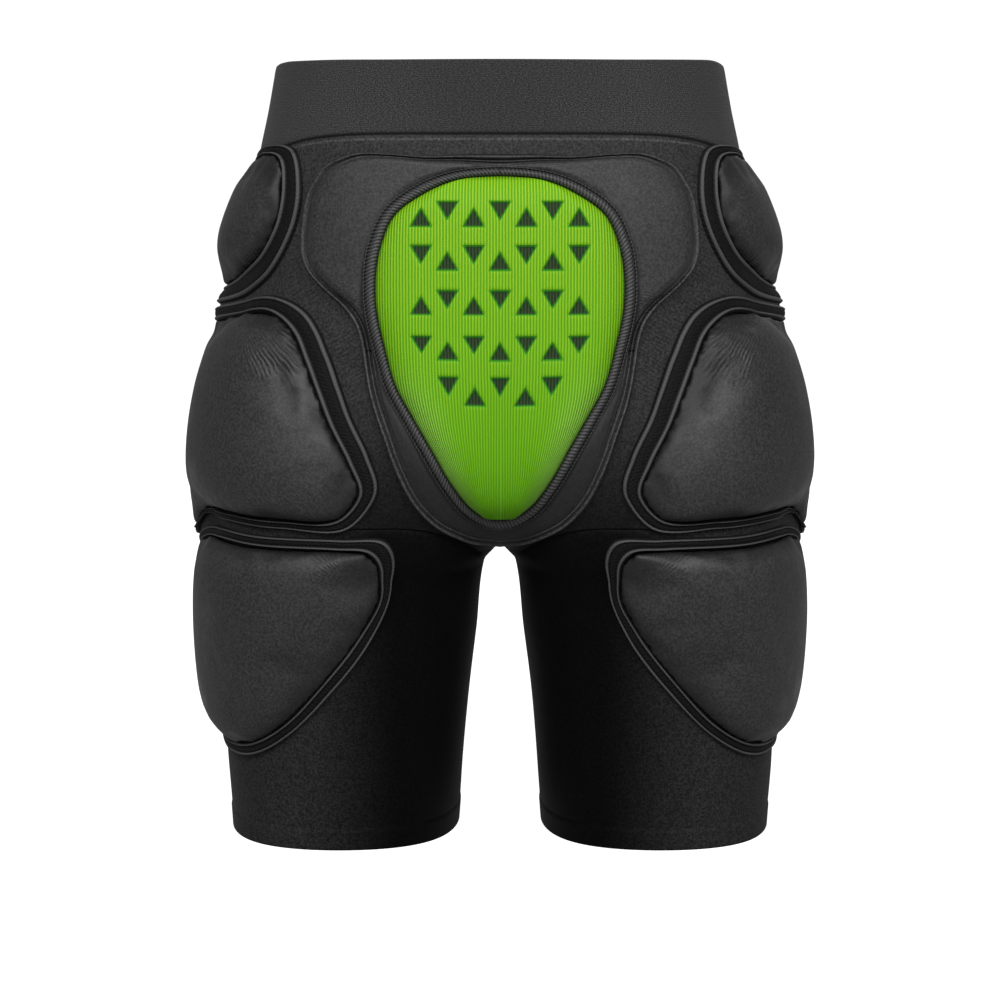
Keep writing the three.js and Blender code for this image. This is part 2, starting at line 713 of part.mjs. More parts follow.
// Raised binding that is stitched round the tailbone pad.
addMiddle(
  "tailbone_binding",
  "binding_tape",
  ring(40, 2, (turn, height, face) => {
    const near = nearSpot(tailboneEdge, turn);
    const far = farSpot(tailboneEdge, bindingEdge, turn);
    const clear = CLEARANCE / near.distanceTo(far);
    const margin = Math.min(clear * 1.5, 0.3);
    const spot = near.lerp(far, mix(margin, 1 - margin, height));
    const rise = face ? mix(2.2, BINDING_RISE, Math.sin(Math.PI * height)) : 0;
    return onBack(spot.x, spot.y, PAD_SEAT + rise);
  }),
);

// The frame's origin is under the middle of the whole assembly.
const extent = new THREE.Box3().setFromObject(shorts);
shorts.position.y = -(extent.min.y + extent.max.y) / 2;

export default shorts;
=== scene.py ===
"""Looks of the padded impact shorts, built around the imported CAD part.

Shapes are worked out in millimetres on the same body surface as the CAD, then placed in metres.
The seat faces -Y and the wearer's right is +X.
"""

import math

import bmesh
import bpy
import numpy as np
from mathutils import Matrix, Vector, noise


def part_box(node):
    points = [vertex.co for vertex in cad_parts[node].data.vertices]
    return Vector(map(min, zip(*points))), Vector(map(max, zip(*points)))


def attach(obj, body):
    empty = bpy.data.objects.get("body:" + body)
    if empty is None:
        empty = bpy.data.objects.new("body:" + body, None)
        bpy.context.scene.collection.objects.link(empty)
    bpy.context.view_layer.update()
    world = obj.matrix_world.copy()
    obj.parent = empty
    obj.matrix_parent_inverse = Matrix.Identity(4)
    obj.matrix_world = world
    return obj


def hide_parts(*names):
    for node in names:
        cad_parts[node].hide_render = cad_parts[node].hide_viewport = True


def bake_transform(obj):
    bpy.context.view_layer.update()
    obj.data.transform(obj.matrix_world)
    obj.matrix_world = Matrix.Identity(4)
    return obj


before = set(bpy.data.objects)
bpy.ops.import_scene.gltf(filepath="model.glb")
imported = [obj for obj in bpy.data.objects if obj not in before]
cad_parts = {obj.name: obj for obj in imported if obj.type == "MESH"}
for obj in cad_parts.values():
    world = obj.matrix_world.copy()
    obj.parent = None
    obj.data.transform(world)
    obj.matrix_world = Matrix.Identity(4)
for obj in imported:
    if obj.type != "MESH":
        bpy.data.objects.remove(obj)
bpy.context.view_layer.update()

MM = 0.001
hem_low, hem_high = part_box("leg_hem_right")
SHIFT_Y = (hem_low.y + hem_high.y) / 2 / MM + 1  # the hems' middle is 1 mm behind the side line
SIDES = {"right": 1, "left": -1}

# ---- The body surface, as in the CAD ----

LEG_LENGTH, RISE = 177, 290
CROTCH, TOP = LEG_LENGTH, LEG_LENGTH + RISE
WAISTBAND_HEIGHT, WAISTBAND_DIP = 40, 20  # at the back, and how much lower its seam runs at the sides
WAIST_SEAM = TOP - WAISTBAND_HEIGHT
FLEX = CROTCH + 18  # the channel where the leg bends
INSEAM_DROP = 29  # how far the channel drops at the inseam
BACK_RIM, FRONT_RIM = 4, 26  # from the channel up to the shell's lower edge
TUCK = 24  # how far a leg sleeve reaches up inside the shell
FABRIC = 1.5
SQUARENESS = 0.12  # 0 is an ellipse
WIDEST, WAIST, SEAT, FRONT = 174, 134, 113, 97

# height, outer, centre, gap, back, front
STATIONS = np.array(
    [
        (0, 167, 96.5, 26, 82, 80),
        (LEG_LENGTH * 0.34, WIDEST - 3.5, 95.5, 21.2, 86, 84),
        (LEG_LENGTH * 0.68, WIDEST - 2, 93, 14.6, 91, 88),
        (CROTCH - 12, WIDEST - 0.5, 91, 9.7, 97, 91),
        (CROTCH, WIDEST, 88, 0, 100, 92),
        (CROTCH + 23, WIDEST, 76, -18, 106, 94),
        (CROTCH + 63, WIDEST - 1, 44, -56, SEAT, FRONT),
        (CROTCH + 103, WIDEST - 8, 14, -86, SEAT, FRONT + 1),
        (CROTCH + RISE * 0.46, WIDEST - 15, 0, -100, SEAT - 2, FRONT + 1),
        (CROTCH + RISE * 0.66, WAIST + 16.5, 0, -100, SEAT - 7, FRONT - 1),
        (CROTCH + RISE * 0.81, WAIST + 11, 0, -100, SEAT - 14, FRONT - 4),
        (TOP - 27, WAIST + 5, 0, -100, SEAT - 18, FRONT - 7),
        (TOP, WAIST, 0, -100, SEAT - 21, FRONT - 9),
    ],
    float,
)


def mix(a, b, t):
    return a + (b - a) * t


def smooth(x, low, high):
    t = np.clip((x - low) / (high - low), 0, 1)
    return t * t * (3 - 2 * t)


def bump(x, middle, half_width):
    """1 at the middle, falling smoothly to 0 a half width away."""
    return 1 - smooth(np.abs(x - middle), 0, half_width)


def between(z, column):
    """A column of the stations at height z, on a curve that is smooth from one to the next."""
    heights, values = STATIONS[:, 0], STATIONS[:, column]
    slopes = np.empty(len(values))
    slopes[1:-1] = (values[2:] - values[:-2]) / (heights[2:] - heights[:-2])
    slopes[0] = (values[1] - values[0]) / (heights[1] - heights[0])
    slopes[-1] = (values[-1] - values[-2]) / (heights[-1] - heights[-2])
    z = np.clip(z, 0, TOP)
    i = np.clip(np.searchsorted(heights, z, side="left") - 1, 0, len(heights) - 2)
    span = heights[i + 1] - heights[i]
    t = (z - heights[i]) / span
    return (
        (2 * t**3 - 3 * t**2 + 1) * values[i]
        + (t**3 - 2 * t**2 + t) * span * slopes[i]
        + (3 * t**2 - 2 * t**3) * values[i + 1]
        + (t**3 - t**2) * span * slopes[i + 1]
    )


def section(z):
    """The loop at height z: outer, centre, inner, back and front."""
    centre = np.maximum(between(z, 2), 0)
    inner = centre - np.minimum(between(z, 3), centre - 1)
    return between(z, 1), centre, inner, between(z, 4), between(z, 5)


def angle_at(z, x):
    """The angle at which the loop at height z is x away from the centre plane."""
    outer, centre, inner, _, _ = section(z)
    share = (x - centre) / np.where(x >= centre, outer - centre, inner)
    low, high = -np.ones_like(share), np.ones_like(share)
    for _ in range(34):
        c = (low + high) / 2
        under = c * (1 + SQUARENESS * (1 - c * c)) < share
        low, high = np.where(under, c, low), np.where(under, high, c)
    angle = np.arccos(np.clip((low + high) / 2, -1, 1))
    return np.where(share >= 1, 0, np.where(share <= -1, np.pi, angle))


def on_fabric(z, angle):
    """Points of the right half. angle is 0 at the side, positive to the back, half a turn at the inseam."""
    outer, centre, inner, back, front = section(z)
    c = np.cos(angle)
    x = centre + np.where(c >= 0, outer - centre, inner) * c * (1 + SQUARENESS * np.sin(angle) ** 2)
    fill = np.maximum(0.5 * centre * np.clip((z - CROTCH) / 60, 0, 1) ** 0.7, 1e-6)
    reach = np.abs(x)
    eased = reach + fill * np.exp(-np.minimum(reach / fill, 60)) * (1 - reach / outer)
    bent = np.where(fill < 0.1, angle, np.sign(angle) * angle_at(z, eased))
    d, c = np.sin(bent), np.cos(bent)
    y = -np.where(d >= 0, back, front) * d * (1 + SQUARENESS * c * c)
    return np.stack([x, y, z], 1)


def lifted(z, angle, lift, side=1):
    """The same points, lifted off the fabric along its outward normal, in the frame's place."""
    z, angle = (np.asarray(a, float) for a in np.broadcast_arrays(z, angle))
    up = on_fabric(np.minimum(z + 0.5, TOP), angle) - on_fabric(np.maximum(z - 0.5, 0), angle)
    turn = on_fabric(z, angle - 0.01) - on_fabric(z, angle + 0.01)
    normal = np.cross(turn, up)
    normal /= np.maximum(np.linalg.norm(normal, axis=1), 1e-9)[:, None]
    points = on_fabric(z, angle) + normal * np.broadcast_to(lift, z.shape)[:, None]
    return points * (side, 1, 1) + (0, SHIFT_Y, 0)


def on_back(x, z, lift):
    """Points of the whole back, on either side of the centre plane."""
    points = lifted(z, angle_at(z, np.abs(x)), lift)
    points[:, 0] *= np.where(x < 0, -1, 1)
    return points


def swell(angle, z):
    """How far the side pads' edges crowd the fabric out between them, near the side line."""
    near = bump(angle, -0.04, 0.42)
    return near * (12.5 * bump(z, 184, 30) + 15 * bump(z, 318, 32))


def waist_seam(angle):
    """Lower edge of the waistband."""
    return WAIST_SEAM - WAISTBAND_DIP * np.maximum(np.cos(angle), 0) ** 6


def flex_line(angle):
    """Middle of the bending channel."""
    inwards = np.where(angle > 0, smooth(angle, 1.7, 3.0), smooth(-angle, 1.5, 2.7))
    return FLEX - INSEAM_DROP * inwards


def hips_rim(angle):
    """Lower edge of the hips shell."""
    return flex_line(angle) + mix(BACK_RIM, FRONT_RIM, smooth(-np.sin(angle), 0.05, 0.95))


# ---- Outlines ----


def curve(points, samples, closed=True):
    """A centripetal Catmull-Rom curve through points, at even shares of its control points."""
    p = np.array(points, float)
    count = len(p) if closed else len(p) - 1
    share = np.asarray(samples) % 1 if closed else np.clip(samples, 0, 1)
    at = np.minimum(share * count, count - 1e-9)
    i = at.astype(int)
    t = (at - i)[:, None]
    if closed:
        a, b, c, d = (p[(i + k) % len(p)] for k in (-1, 0, 1, 2))
    else:
        ends = np.vstack([2 * p[0] - p[1], p, 2 * p[-1] - p[-2]])
        a, b, c, d = (ends[i + k] for k in (0, 1, 2, 3))
    ab, bc, cd = (
        np.maximum(np.linalg.norm(q - r, axis=1), 1e-6)[:, None] ** 0.5
        for q, r in ((b, a), (c, b), (d, c))
    )
    start = ((b - a) / ab - (c - a) / (ab + bc) + (c - b) / bc) * bc
    end = ((c - b) / bc - (d - b) / (bc + cd) + (d - c) / cd) * bc
    return (
        (2 * t**3 - 3 * t**2 + 1) * b
        + (t**3 - 2 * t**2 + t) * start
        + (3 * t**2 - 2 * t**3) * c
        + (t**3 - t**2) * end
    )


def even_shares(points, count):
    """Shares of a closed curve that are evenly spaced along it, one per step."""
    dense = np.linspace(0, 1, 1601)
    line = curve(points, dense)
    run = np.concatenate([[0], np.cumsum(np.linalg.norm(np.diff(line, axis=0), axis=1))])
    return np.interp(np.arange(count + 1) / count * run[-1], run, dense), run[-1]


GIRTH = 2 * math.pi * 125

# girth round from the side line towards the back, and height
SIDE_PADS = {
    "hip_pad": dict(
        level=WAIST_SEAM - 2,
        rise=18.6,
        high=-8,
        droop=0.3,
        body="hips",
        edge=[(72, -14), (78, -30), (75, -52), (60, -71), (30, -83), (-4, -94), (-40, -96), (-66, -80),
              (-74, -52), (-52, -28), (0, -20), (46, -11)],
        seam=[(82, -9), (91, -30), (88, -54), (70, -80), (38, -94), (-2, -104), (-43, -106), (-76, -88),
              (-86, -50), (-60, -20), (0, -13), (50, -6)],
    ),
    "thigh_pad": dict(
        level=FLEX,
        rise=16,
        high=190,
        droop=1,
        body="hips",
        edge=[(78, 128), (96, 120), (112, 100), (138, 66), (160, 43), (177, 23), (174, 10), (134, 7),
              (70, 7), (22, 3), (6, -9), (-10, -10), (-28, 6), (-54, 34), (-78, 68), (-66, 102),
              (-14, 112), (40, 124)],
        seam=[(80, 136), (104, 128), (122, 104), (146, 70), (168, 46), (186, 23), (184, 5), (136, 2.8),
              (70, 2.8), (14, -1), (1, -13.5), (-13, -15), (-36, 0), (-64, 30), (-88, 66), (-75, 109),
              (-15, 119), (40, 132)],
    ),
    "lower_pad": dict(
        level=FLEX,
        rise=15.2,
        high=60,
        droop=1,
        body="leg",
        edge=[(60, -8.5), (120, -8), (180, -7.5), (206, -9.5), (222, -22), (226, -38), (212, -60),
              (185, -88), (150, -116), (112, -131), (70, -134), (24, -128), (-24, -114), (-50, -96),
              (-56, -76), (-38, -56), (-14, -40), (4, -27), (22, -14)],
        seam=[(60, -3.5), (120, -3), (182, -2.5), (214, -4), (231, -20), (234, -38), (220, -64),
              (190, -95), (152, -123), (112, -138), (68, -141), (20, -136), (-30, -121), (-59, -100),
              (-66, -74), (-45, -49), (-19, -34), (0, -22), (20, -9)],
    ),
}

# Seat pad, then the crescent below it: outer edge x, z, and inner edge x, z.
SEAT_EDGES = [
    (0, 414.3, 0, 404.6), (22, 414.2, 14, 404.4), (43.6, 413.6, 27, 402.8), (66.8, 415.2, 39.6, 398.8),
    (82.5, 415.1, 48, 394.2), (92, 412, 53, 391), (101, 407, 58, 385.5), (105.8, 400, 61, 382.5),
    (110.6, 391, 64, 379), (113.5, 375, 68.5, 371), (114.3, 361, 72, 363), (113.2, 353.5, 74.5, 356.5),
    (110.5, 347.6, 75.5, 351.5), (105, 341, 76.7, 345.5), (98.5, 335, 77.2, 338.5),
    (91, 328.5, 77.6, 332), (85, 321, 77, 326), (81.2, 313, 75.3, 315), (79, 303, 72.6, 304.5),
    (77.6, 293, 69.8, 294),
]
CRESCENT_EDGES = [
    (79, 303, 72.6, 304.5), (77.6, 293, 69.8, 294), (76, 283, 67, 284), (74, 274, 64.2, 277.5),
    (71, 264, 59.6, 270), (67.4, 254, 55.2, 263), (60, 233, 45.2, 243.8), (50, 213.5, 36.7, 227.8),
    (38, 200, 27.2, 213.2), (27.6, 193.5, 19, 205.7), (15.4, 188, 9.8, 201.2), (0, 185.6, 0, 199),
]
TAILBONE_HALF = [
    (0, 401.7), (25.2, 399), (43.6, 391), (59.2, 379), (66.7, 362), (69.4, 347), (69.4, 328),
    (65.1, 304.5), (59.4, 283), (49.7, 264.5), (39.5, 246.5), (29.5, 228.5), (19.2, 214.5),
    (8.8, 207.4), (0, 205.6),
]
BINDING_HALF = [
    (0, 406.4), (28, 403.4), (47.6, 395.4), (64.4, 382), (72.8, 364), (75.7, 347.6), (75.4, 327),
    (71, 303), (64.8, 280.6), (54.8, 261.4), (44.4, 242.8), (34, 224.6), (22.4, 209), (10.4, 201.2),
    (0, 199.3),
]


def whole(half):
    """Both halves of an outline that runs from the top centre to the bottom centre."""
    return [*half, *((-x, z) for x, z in reversed(half[1:-1]))]


# ---- Meshes ----


def grid(columns, rows, place):
    """A sheet of quads. place takes each vertex's shares along and across, and returns the points in mm and
    a dict of values for the shader."""
    bm = bmesh.new()
    bmesh.ops.create_grid(bm, x_segments=columns, y_segments=rows, size=0.5)
    shares = np.array([v.co[:2] for v in bm.verts]) + 0.5
    points, values = place(shares[:, 0], shares[:, 1])
    for vert, point in zip(bm.verts, points * MM):
        vert.co = point
    for name, numbers in values.items():
        layer = bm.verts.layers.float.new(name)
        for vert, number in zip(bm.verts, numbers):
            vert[layer] = number
    return bm


def face_out(bm, middle):
    """Turns the faces of an open sheet so that they look away from a point in mm."""
    bmesh.ops.recalc_face_normals(bm, faces=bm.faces)
    centre = Vector(middle) * MM
    facing = sum(f.normal.dot(f.calc_center_median() - centre) * f.calc_area() for f in bm.faces)
    if facing < 0:
        bmesh.ops.reverse_faces(bm, faces=bm.faces)
    bm.normal_update()


def weld(bm, gap=0.05):
    bmesh.ops.remove_doubles(bm, verts=bm.verts, dist=gap * MM)


def piece(name, bm, material, body=None, nodes=(), wall=0):
    """Makes an object of a mesh. A sheet gets its wall, in mm, inwards."""
    mesh = bpy.data.meshes.new(name)
    bm.to_mesh(mesh)
    bm.free()
    obj = bpy.data.objects.new(name, mesh)
    bpy.context.scene.collection.objects.link(obj)
    mesh.materials.append(material)
    if wall:
        solidify = obj.modifiers.new("wall", "SOLIDIFY")
        solidify.thickness = wall * MM
        solidify.use_even_offset = False
        bpy.context.view_layer.objects.active = obj
        bpy.ops.object.modifier_apply(modifier="wall")
    mesh.shade_smooth()
    if body:
        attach(obj, body)
    if nodes:
        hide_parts(*nodes)
    return obj


def ripple(points, scale, seed=0.0):
    """Smooth noise from -1 to 1 at points in mm."""
    return np.array([noise.noise(Vector(p * scale) + Vector((seed, seed, seed))) for p in points])


def waver(turns, size, seed):
    """Smooth noise from -1 to 1 round a closed line. turns are in radians."""
    return np.array([noise.noise(Vector((math.cos(t) * size, math.sin(t) * size, seed))) for t in turns])


# ---- Shader arithmetic ----


class Value:
    """A number in a material, with Python arithmetic."""

    def __init__(self, tree, socket):
        self.tree, self.socket = tree, socket

    def math(self, operation, *others):
        sockets = dict(enumerate((self, *others)))
        return make(self.tree, "ShaderNodeMath", 0, {"operation": operation}, sockets)

    def __add__(self, other):
        return self.math("ADD", other)

    def __radd__(self, other):
        return self + other

    def __sub__(self, other):
        return self.math("SUBTRACT", other)

    def __rsub__(self, other):
        return self * -1 + other

    def __mul__(self, other):
        return self.math("MULTIPLY", other)

    def __rmul__(self, other):
        return self * other

    def __truediv__(self, other):
        return self.math("DIVIDE", other)

    def sin(self):
        return self.math("SINE")

    def abs(self):
        return self.math("ABSOLUTE")

    def least(self, other):
        return self.math("MINIMUM", other)

    def most(self, other):
        return self.math("MAXIMUM", other)

    def step(self, low, high):
        """0 below low and 1 above high, smoothly."""
        t = ((self - low) / (high - low)).most(0).least(1)
        return t * t * (3 - 2 * t)


def feed(tree, slot, value):
    if isinstance(value, Value):
        tree.links.new(value.socket, slot)
    else:
        slot.default_value = value


def make(tree, kind, output, settings, sockets):
    """Adds a node, sets it up, feeds its sockets with values or links, and gives one of its outputs."""
    node = tree.nodes.new(kind)
    for name, value in settings.items():
        setattr(node, name, value)
    for slot, value in sockets.items():
        feed(tree, node.inputs[slot], value)
    return Value(tree, node.outputs[output])


def seen_by_camera(tree):
    return make(tree, "ShaderNodeLightPath", "Is Camera Ray", {}, {})


class Finish:
    """A material under construction."""

    def __init__(self, name, **constants):
        self.material = bpy.data.materials.new(name)
        self.material.use_nodes = True
        self.tree = self.material.node_tree
        self.shader = self.tree.nodes["Principled BSDF"]
        for socket, value in constants.items():
            self.shader.inputs[socket.replace("_", " ")].default_value = value
        self.place = self.node("ShaderNodeTexCoord", "Object")
        self.x, self.z = (
            self.node("ShaderNodeSeparateXYZ", axis, Vector=self.place) / MM for axis in "XZ"
        )

    def node(self, kind, output=0, settings=None, sockets=None, **named):
        return make(self.tree, kind, output, settings or {}, {**(sockets or {}), **named})

    def value(self, name):
        return self.node("ShaderNodeAttribute", "Fac", {"attribute_name": name})

    def point(self, x, y, z):
        return self.node("ShaderNodeCombineXYZ", X=x, Y=y, Z=z)

    def grain(self, size, detail, rough, at=None):
        """Noise whose lumps are about size mm across, from 0 to 1. at is in mm, and otherwise in metres."""
        place, scale = (self.place, 1 / MM / size) if at is None else (at, 1 / size)
        return self.node("ShaderNodeTexNoise", Vector=place, Scale=scale, Detail=detail, Roughness=rough)

    def blend(self, amount, first, second):
        """A mix of two colours."""
        first, second = ((*c, 1) if isinstance(c, tuple) else c for c in (first, second))
        return self.node("ShaderNodeMix", 2, {"data_type": "RGBA"}, {0: amount, 6: first, 7: second})

    def tint(self, colour, amount):
        """A colour made lighter or darker by a number."""
        return self.node("ShaderNodeVectorMath", 0, {"operation": "SCALE"}, {0: colour, "Scale": amount})

    def done(self, colour, roughness, relief):
        """relief is a height in mm."""
        normal = self.node("ShaderNodeBump", Height=relief * MM, Distance=1.0, Strength=1.0)
        for socket, value in (("Base Color", colour), ("Roughness", roughness), ("Normal", normal)):
            feed(self.tree, self.shader.inputs[socket], value)
        return self.material


def knit(name, colour, shine, roughness, pucker=False):
    """Fine stretch knit: a fine grain, a mottle and broad soft undulations, with painted shade between the
    legs and, on the shell, painted shade under the waistband's edge.
    """
    f = Finish(name, Sheen_Weight=0.02, Sheen_Roughness=0.45, Specular_IOR_Level=shine)
    fine = f.grain(0.55, 3, 0.6)
    mottle = f.grain(2.6, 2, 0.55)
    broad = f.grain(34, 2, 0.5)
    relief = (fine - 0.5) * 0.06 + (mottle - 0.5) * 0.06 + (broad - 0.5) * 0.5
    if pucker:
        amount = f.value("pucker")
        wander = f.grain(16, 2, 0.5) * 11
        waves = ((f.x.abs() * 0.52 + f.z * 0.86) * 2.7 + wander).sin()
        relief = relief + waves * amount * f.grain(9, 1, 0.5).step(0.3, 0.6) * 0.3
    # Painted shade: the colour falls to 8% where the fabric is both near the centre line and low down,
    # between the legs.
    inner = f.x.abs().step(58, 128)
    low = f.z.step(165, 320)
    lit = inner.most(low) * 0.92 + 0.08
    speck = f.grain(1.4, 3, 0.75).step(0.36, 0.66)
    shade = (0.5 + speck + (broad - 0.5) * 0.3) * lit
    if pucker:
        below = f.value("below")
        stitch = (1 - (below - 3.2).abs().step(0.35, 1.0)) * 0.9
        # Painted shade in the first 1.5 mm under the waistband's raised edge, then a lighter stitch line
        # 3.2 mm down.
        shade = shade * (0.1 + below.step(0.4, 1.5) * 0.9) + shade * stitch
    return f.done(f.tint(colour, shade), roughness + (mottle - 0.5) * 0.12, relief)


def pad_fabric():
    """Satin charcoal knit on foam, with fine fanned creases, painted shade and painted highlights."""
    f = Finish("pad_fabric", Sheen_Weight=0.02, Sheen_Roughness=0.4, Specular_IOR_Level=0.4)
    fine = f.grain(0.6, 3, 0.65)
    mottle = f.grain(3.2, 2, 0.6)
    broad = f.grain(45, 2, 0.5)
    wrinkle = f.value("wrinkle")
    fan = f.value("fan")
    lines = (fan * 130 + f.grain(9, 1, 0.5) * 7).sin()
    relief = (fine - 0.5) * 0.06 + (mottle - 0.5) * 0.05 + (broad - 0.5) * 0.9
    relief = relief + lines * wrinkle * 0.2 * f.grain(7, 1, 0.5).step(0.3, 0.6)
    speck = f.grain(1.5, 3, 0.75).step(0.36, 0.66)
    # The per-vertex value lays on painted shade and painted highlights.
    shade = (0.38 + speck * 1.25 + (mottle - 0.5) * 0.3 + (broad - 0.5) * 0.4) * (1 + f.value("tone"))
    patch = f.grain(26, 2, 0.6).step(0.5, 0.68)
    return f.done(f.tint((0.0185, 0.0185, 0.019), shade), 0.58 - patch * 0.1 + (fine - 0.5) * 0.1, relief)


def flange_cloth():
    """A rough black bed between two twisted cords, the bed darkened further as painted shade and the cords
    lightened as a painted highlight.
    """
    f = Finish("flange_cloth", Sheen_Weight=0.01, Sheen_Roughness=0.4, Specular_IOR_Level=0.16)
    run, across = f.value("run"), f.value("across")
    cord = f.value("cord")
    twist = ((run + across * 2.2) * 2.6).sin()
    braid = (run * 2.2 + f.grain(3, 1, 0.5) * 4).sin() * (across * 1.9).sin()
    rough = f.grain(1.1, 3, 0.7)
    bed = 1 - cord
    relief = twist * cord * 0.05 + bed * (braid * 0.16 + (rough - 0.5) * 0.5) + (rough - 0.5) * 0.08
    # The cords' light colour is a painted highlight; the bed's near-black is the black cloth deepened by
    # painted shade.
    colour = f.blend(cord.step(0.3, 0.95), (0.0028, 0.0028, 0.0029), (0.062, 0.062, 0.063))
    shade = 0.7 + rough * 0.6
    return f.done(f.tint(colour, shade), 0.55 + bed * 0.15, relief)


def elastic():
    """Heather woven elastic, with painted shade in its seam and towards the centre line."""
    f = Finish("heather_elastic", Sheen_Weight=0.05, Sheen_Roughness=0.5, Specular_IOR_Level=0.3)
    run, height = f.value("run"), f.value("height")
    cells = f.point(run, height * 1.7, 0.0)
    speck = f.grain(0.85, 2, 0.7, at=cells)
    fleck = f.grain(1.5, 1, 0.5, at=cells)
    rows = (height * 5.2).sin()
    wales = (run * 4.2 + speck * 1.5).sin()
    relief = rows * 0.04 + wales * 0.04 + (speck - 0.5) * 0.2
    light = speck.step(0.4, 0.66)
    colour = f.blend(light, (0.0035, 0.0035, 0.0037), (0.054, 0.054, 0.055))
    shade = 0.6 + fleck * 0.8 + (f.grain(60, 1, 0.5) - 0.5) * 0.3
    # Painted shade in the seam groove along the lower edge.
    seam = 0.12 + f.value("above").step(-0.2, 1.3) * 0.88
    # Painted shade: darker towards the centre line, lighter out at the sides.
    painted_centre_shade = 0.78 + f.x.abs().step(15, 120) * 0.37
    return f.done(f.tint(colour, shade * seam * painted_centre_shade), 0.78, relief)


def green_mesh():
    """Upright ribs, with painted light that makes them lighter towards the top, painted highlights combed
    along the lower sides, painted shade along the edge, and vents that show the dark cloth beneath,
    deepened by painted shade.
    """
    f = Finish("green_mesh", Sheen_Weight=0.0, Sheen_Roughness=0.35, Specular_IOR_Level=0.16)
    rib, vent, edge = f.value("rib"), f.value("vent"), f.value("edge")
    fine = f.grain(0.6, 2, 0.6)
    wave = (rib * (2 * math.pi / 1.7) + (f.grain(5, 1, 0.5) - 0.5) * 1.2).sin()
    knots = (f.z * (2 * math.pi / 1.1)).sin()
    relief = wave * 0.16 + knots * 0.03 + (fine - 0.5) * 0.08
    # Painted light: the green is lighter towards the top and darker low down.
    upper = f.z.step(200, 390)
    body = f.blend(upper, (0.15, 0.41, 0.004), (0.255, 0.485, 0.011))
    # Painted highlight: the ribs turn whitish green along the lower sides.
    body = f.blend(f.value("comb") * 0.5, body, (0.42, 0.66, 0.16))
    ribbed = f.blend(wave * 0.5 + 0.5, (0.065, 0.27, 0.003), body)
    # Each vent's rim is painted darker green as shade on the foam's wall; inside, the dark cloth seen
    # through the mesh is deepened by painted shade.
    rim = f.blend(vent.step(0.08, 0.5), ribbed, (0.018, 0.20, 0.002))
    ribbed_hole = f.blend(wave * 0.5 + 0.5, (0.008, 0.02, 0.006), (0.03, 0.06, 0.02))
    hole = f.blend(vent.step(0.5, 0.95), rim, ribbed_hole)
    # Painted shade along the cushion's edge, next to the binding roll.
    shade = (0.85 + fine * 0.3) * (1 - edge * 0.45)
    return f.done(f.tint(hole, shade), 0.5 + vent * 0.25, relief)


def binding_cloth():
    """Slanting ribs of a rolled binding, with painted shade from a per-vertex value."""
    f = Finish("binding_cloth", Sheen_Weight=0.02, Sheen_Roughness=0.35, Specular_IOR_Level=0.4)
    run, across = f.value("run"), f.value("across")
    ribs = (run * 3.1 + across * 1.6 + f.grain(4, 1, 0.5) * 1.6).sin()
    rough = f.grain(0.9, 3, 0.7)
    relief = ribs * 0.14 + (rough - 0.5) * 0.16
    colour = f.blend(ribs * 0.5 + 0.5, (0.01, 0.01, 0.0102), (0.055, 0.055, 0.056))
    return f.done(f.tint(colour, (0.5 + rough) * (1 + f.value("tone"))), 0.5, relief)


MATERIALS = {
    "shell": knit("shell_knit", (0.0275, 0.0275, 0.028), 0.08, 0.56, pucker=True),
    # The leg knit is the shell's fabric, made darker and less shiny as painted shade on the lower legs.
    "leg": knit("leg_knit", (0.0205, 0.0205, 0.021), 0.04, 0.6),
    "pad": pad_fabric(),
    "flange": flange_cloth(),
    "elastic": elastic(),
    "green": green_mesh(),
    "binding": binding_cloth(),
}

# ---- Shell, legs and waistband ----


def row_ends(direction, across):
    """Where each row of the hips shell ends: the inseam below the crotch, the centre line above it."""
    z = np.full_like(across, float(hips_rim(np.array([np.pi]))[0]))
    end = np.full_like(across, np.pi)
    for _ in range(50):
        end = np.where(z > CROTCH, angle_at(z, np.zeros_like(z)), np.pi)
        aimed = mix(hips_rim(direction * end), waist_seam(end), across)
        z = mix(z, aimed, 0.4)
    return end


def hips_shell():
    parts = []
    for side in SIDES.values():

        def place(along, up):
            turn = along * 2 - 1
            across = up**1.5
            heights, back = np.unique(across, return_inverse=True)
            ends = np.where(turn >= 0, row_ends(1, heights)[back], row_ends(-1, heights)[back])
            angle = turn * ends
            z = mix(hips_rim(angle), waist_seam(angle) + 1.5, across)
            points = lifted(z, angle, swell(angle, z), side)
            points[(np.abs(turn) > 0.9999) & (z > CROTCH), 0] = 0
            x = np.abs(points[:, 0])
            behind = smooth(-points[:, 1] + SHIFT_Y, 40, 70)
            upper = bump(np.hypot(x - 108, (z - 338) * 0.8), 0, 34)
            lower = bump(np.hypot(x - 96, (z - 300) * 0.6), 0, 30)
            return points, {"pucker": np.maximum(upper, lower) * behind, "below": waist_seam(angle) - z}

        parts.append(grid(190, 110, place))
    bm, other = parts
    mesh = bpy.data.meshes.new("half")
    other.to_mesh(mesh)
    other.free()
    bm.from_mesh(mesh)
    bpy.data.meshes.remove(mesh)
    weld(bm)
    face_out(bm, (0, SHIFT_Y, 330))
    nodes = [f"{part}_{s}" for part in ("back_panel", "front_panel") for s in SIDES]
    return piece("hips_shell", bm, MATERIALS["shell"], "hips", nodes, FABRIC)


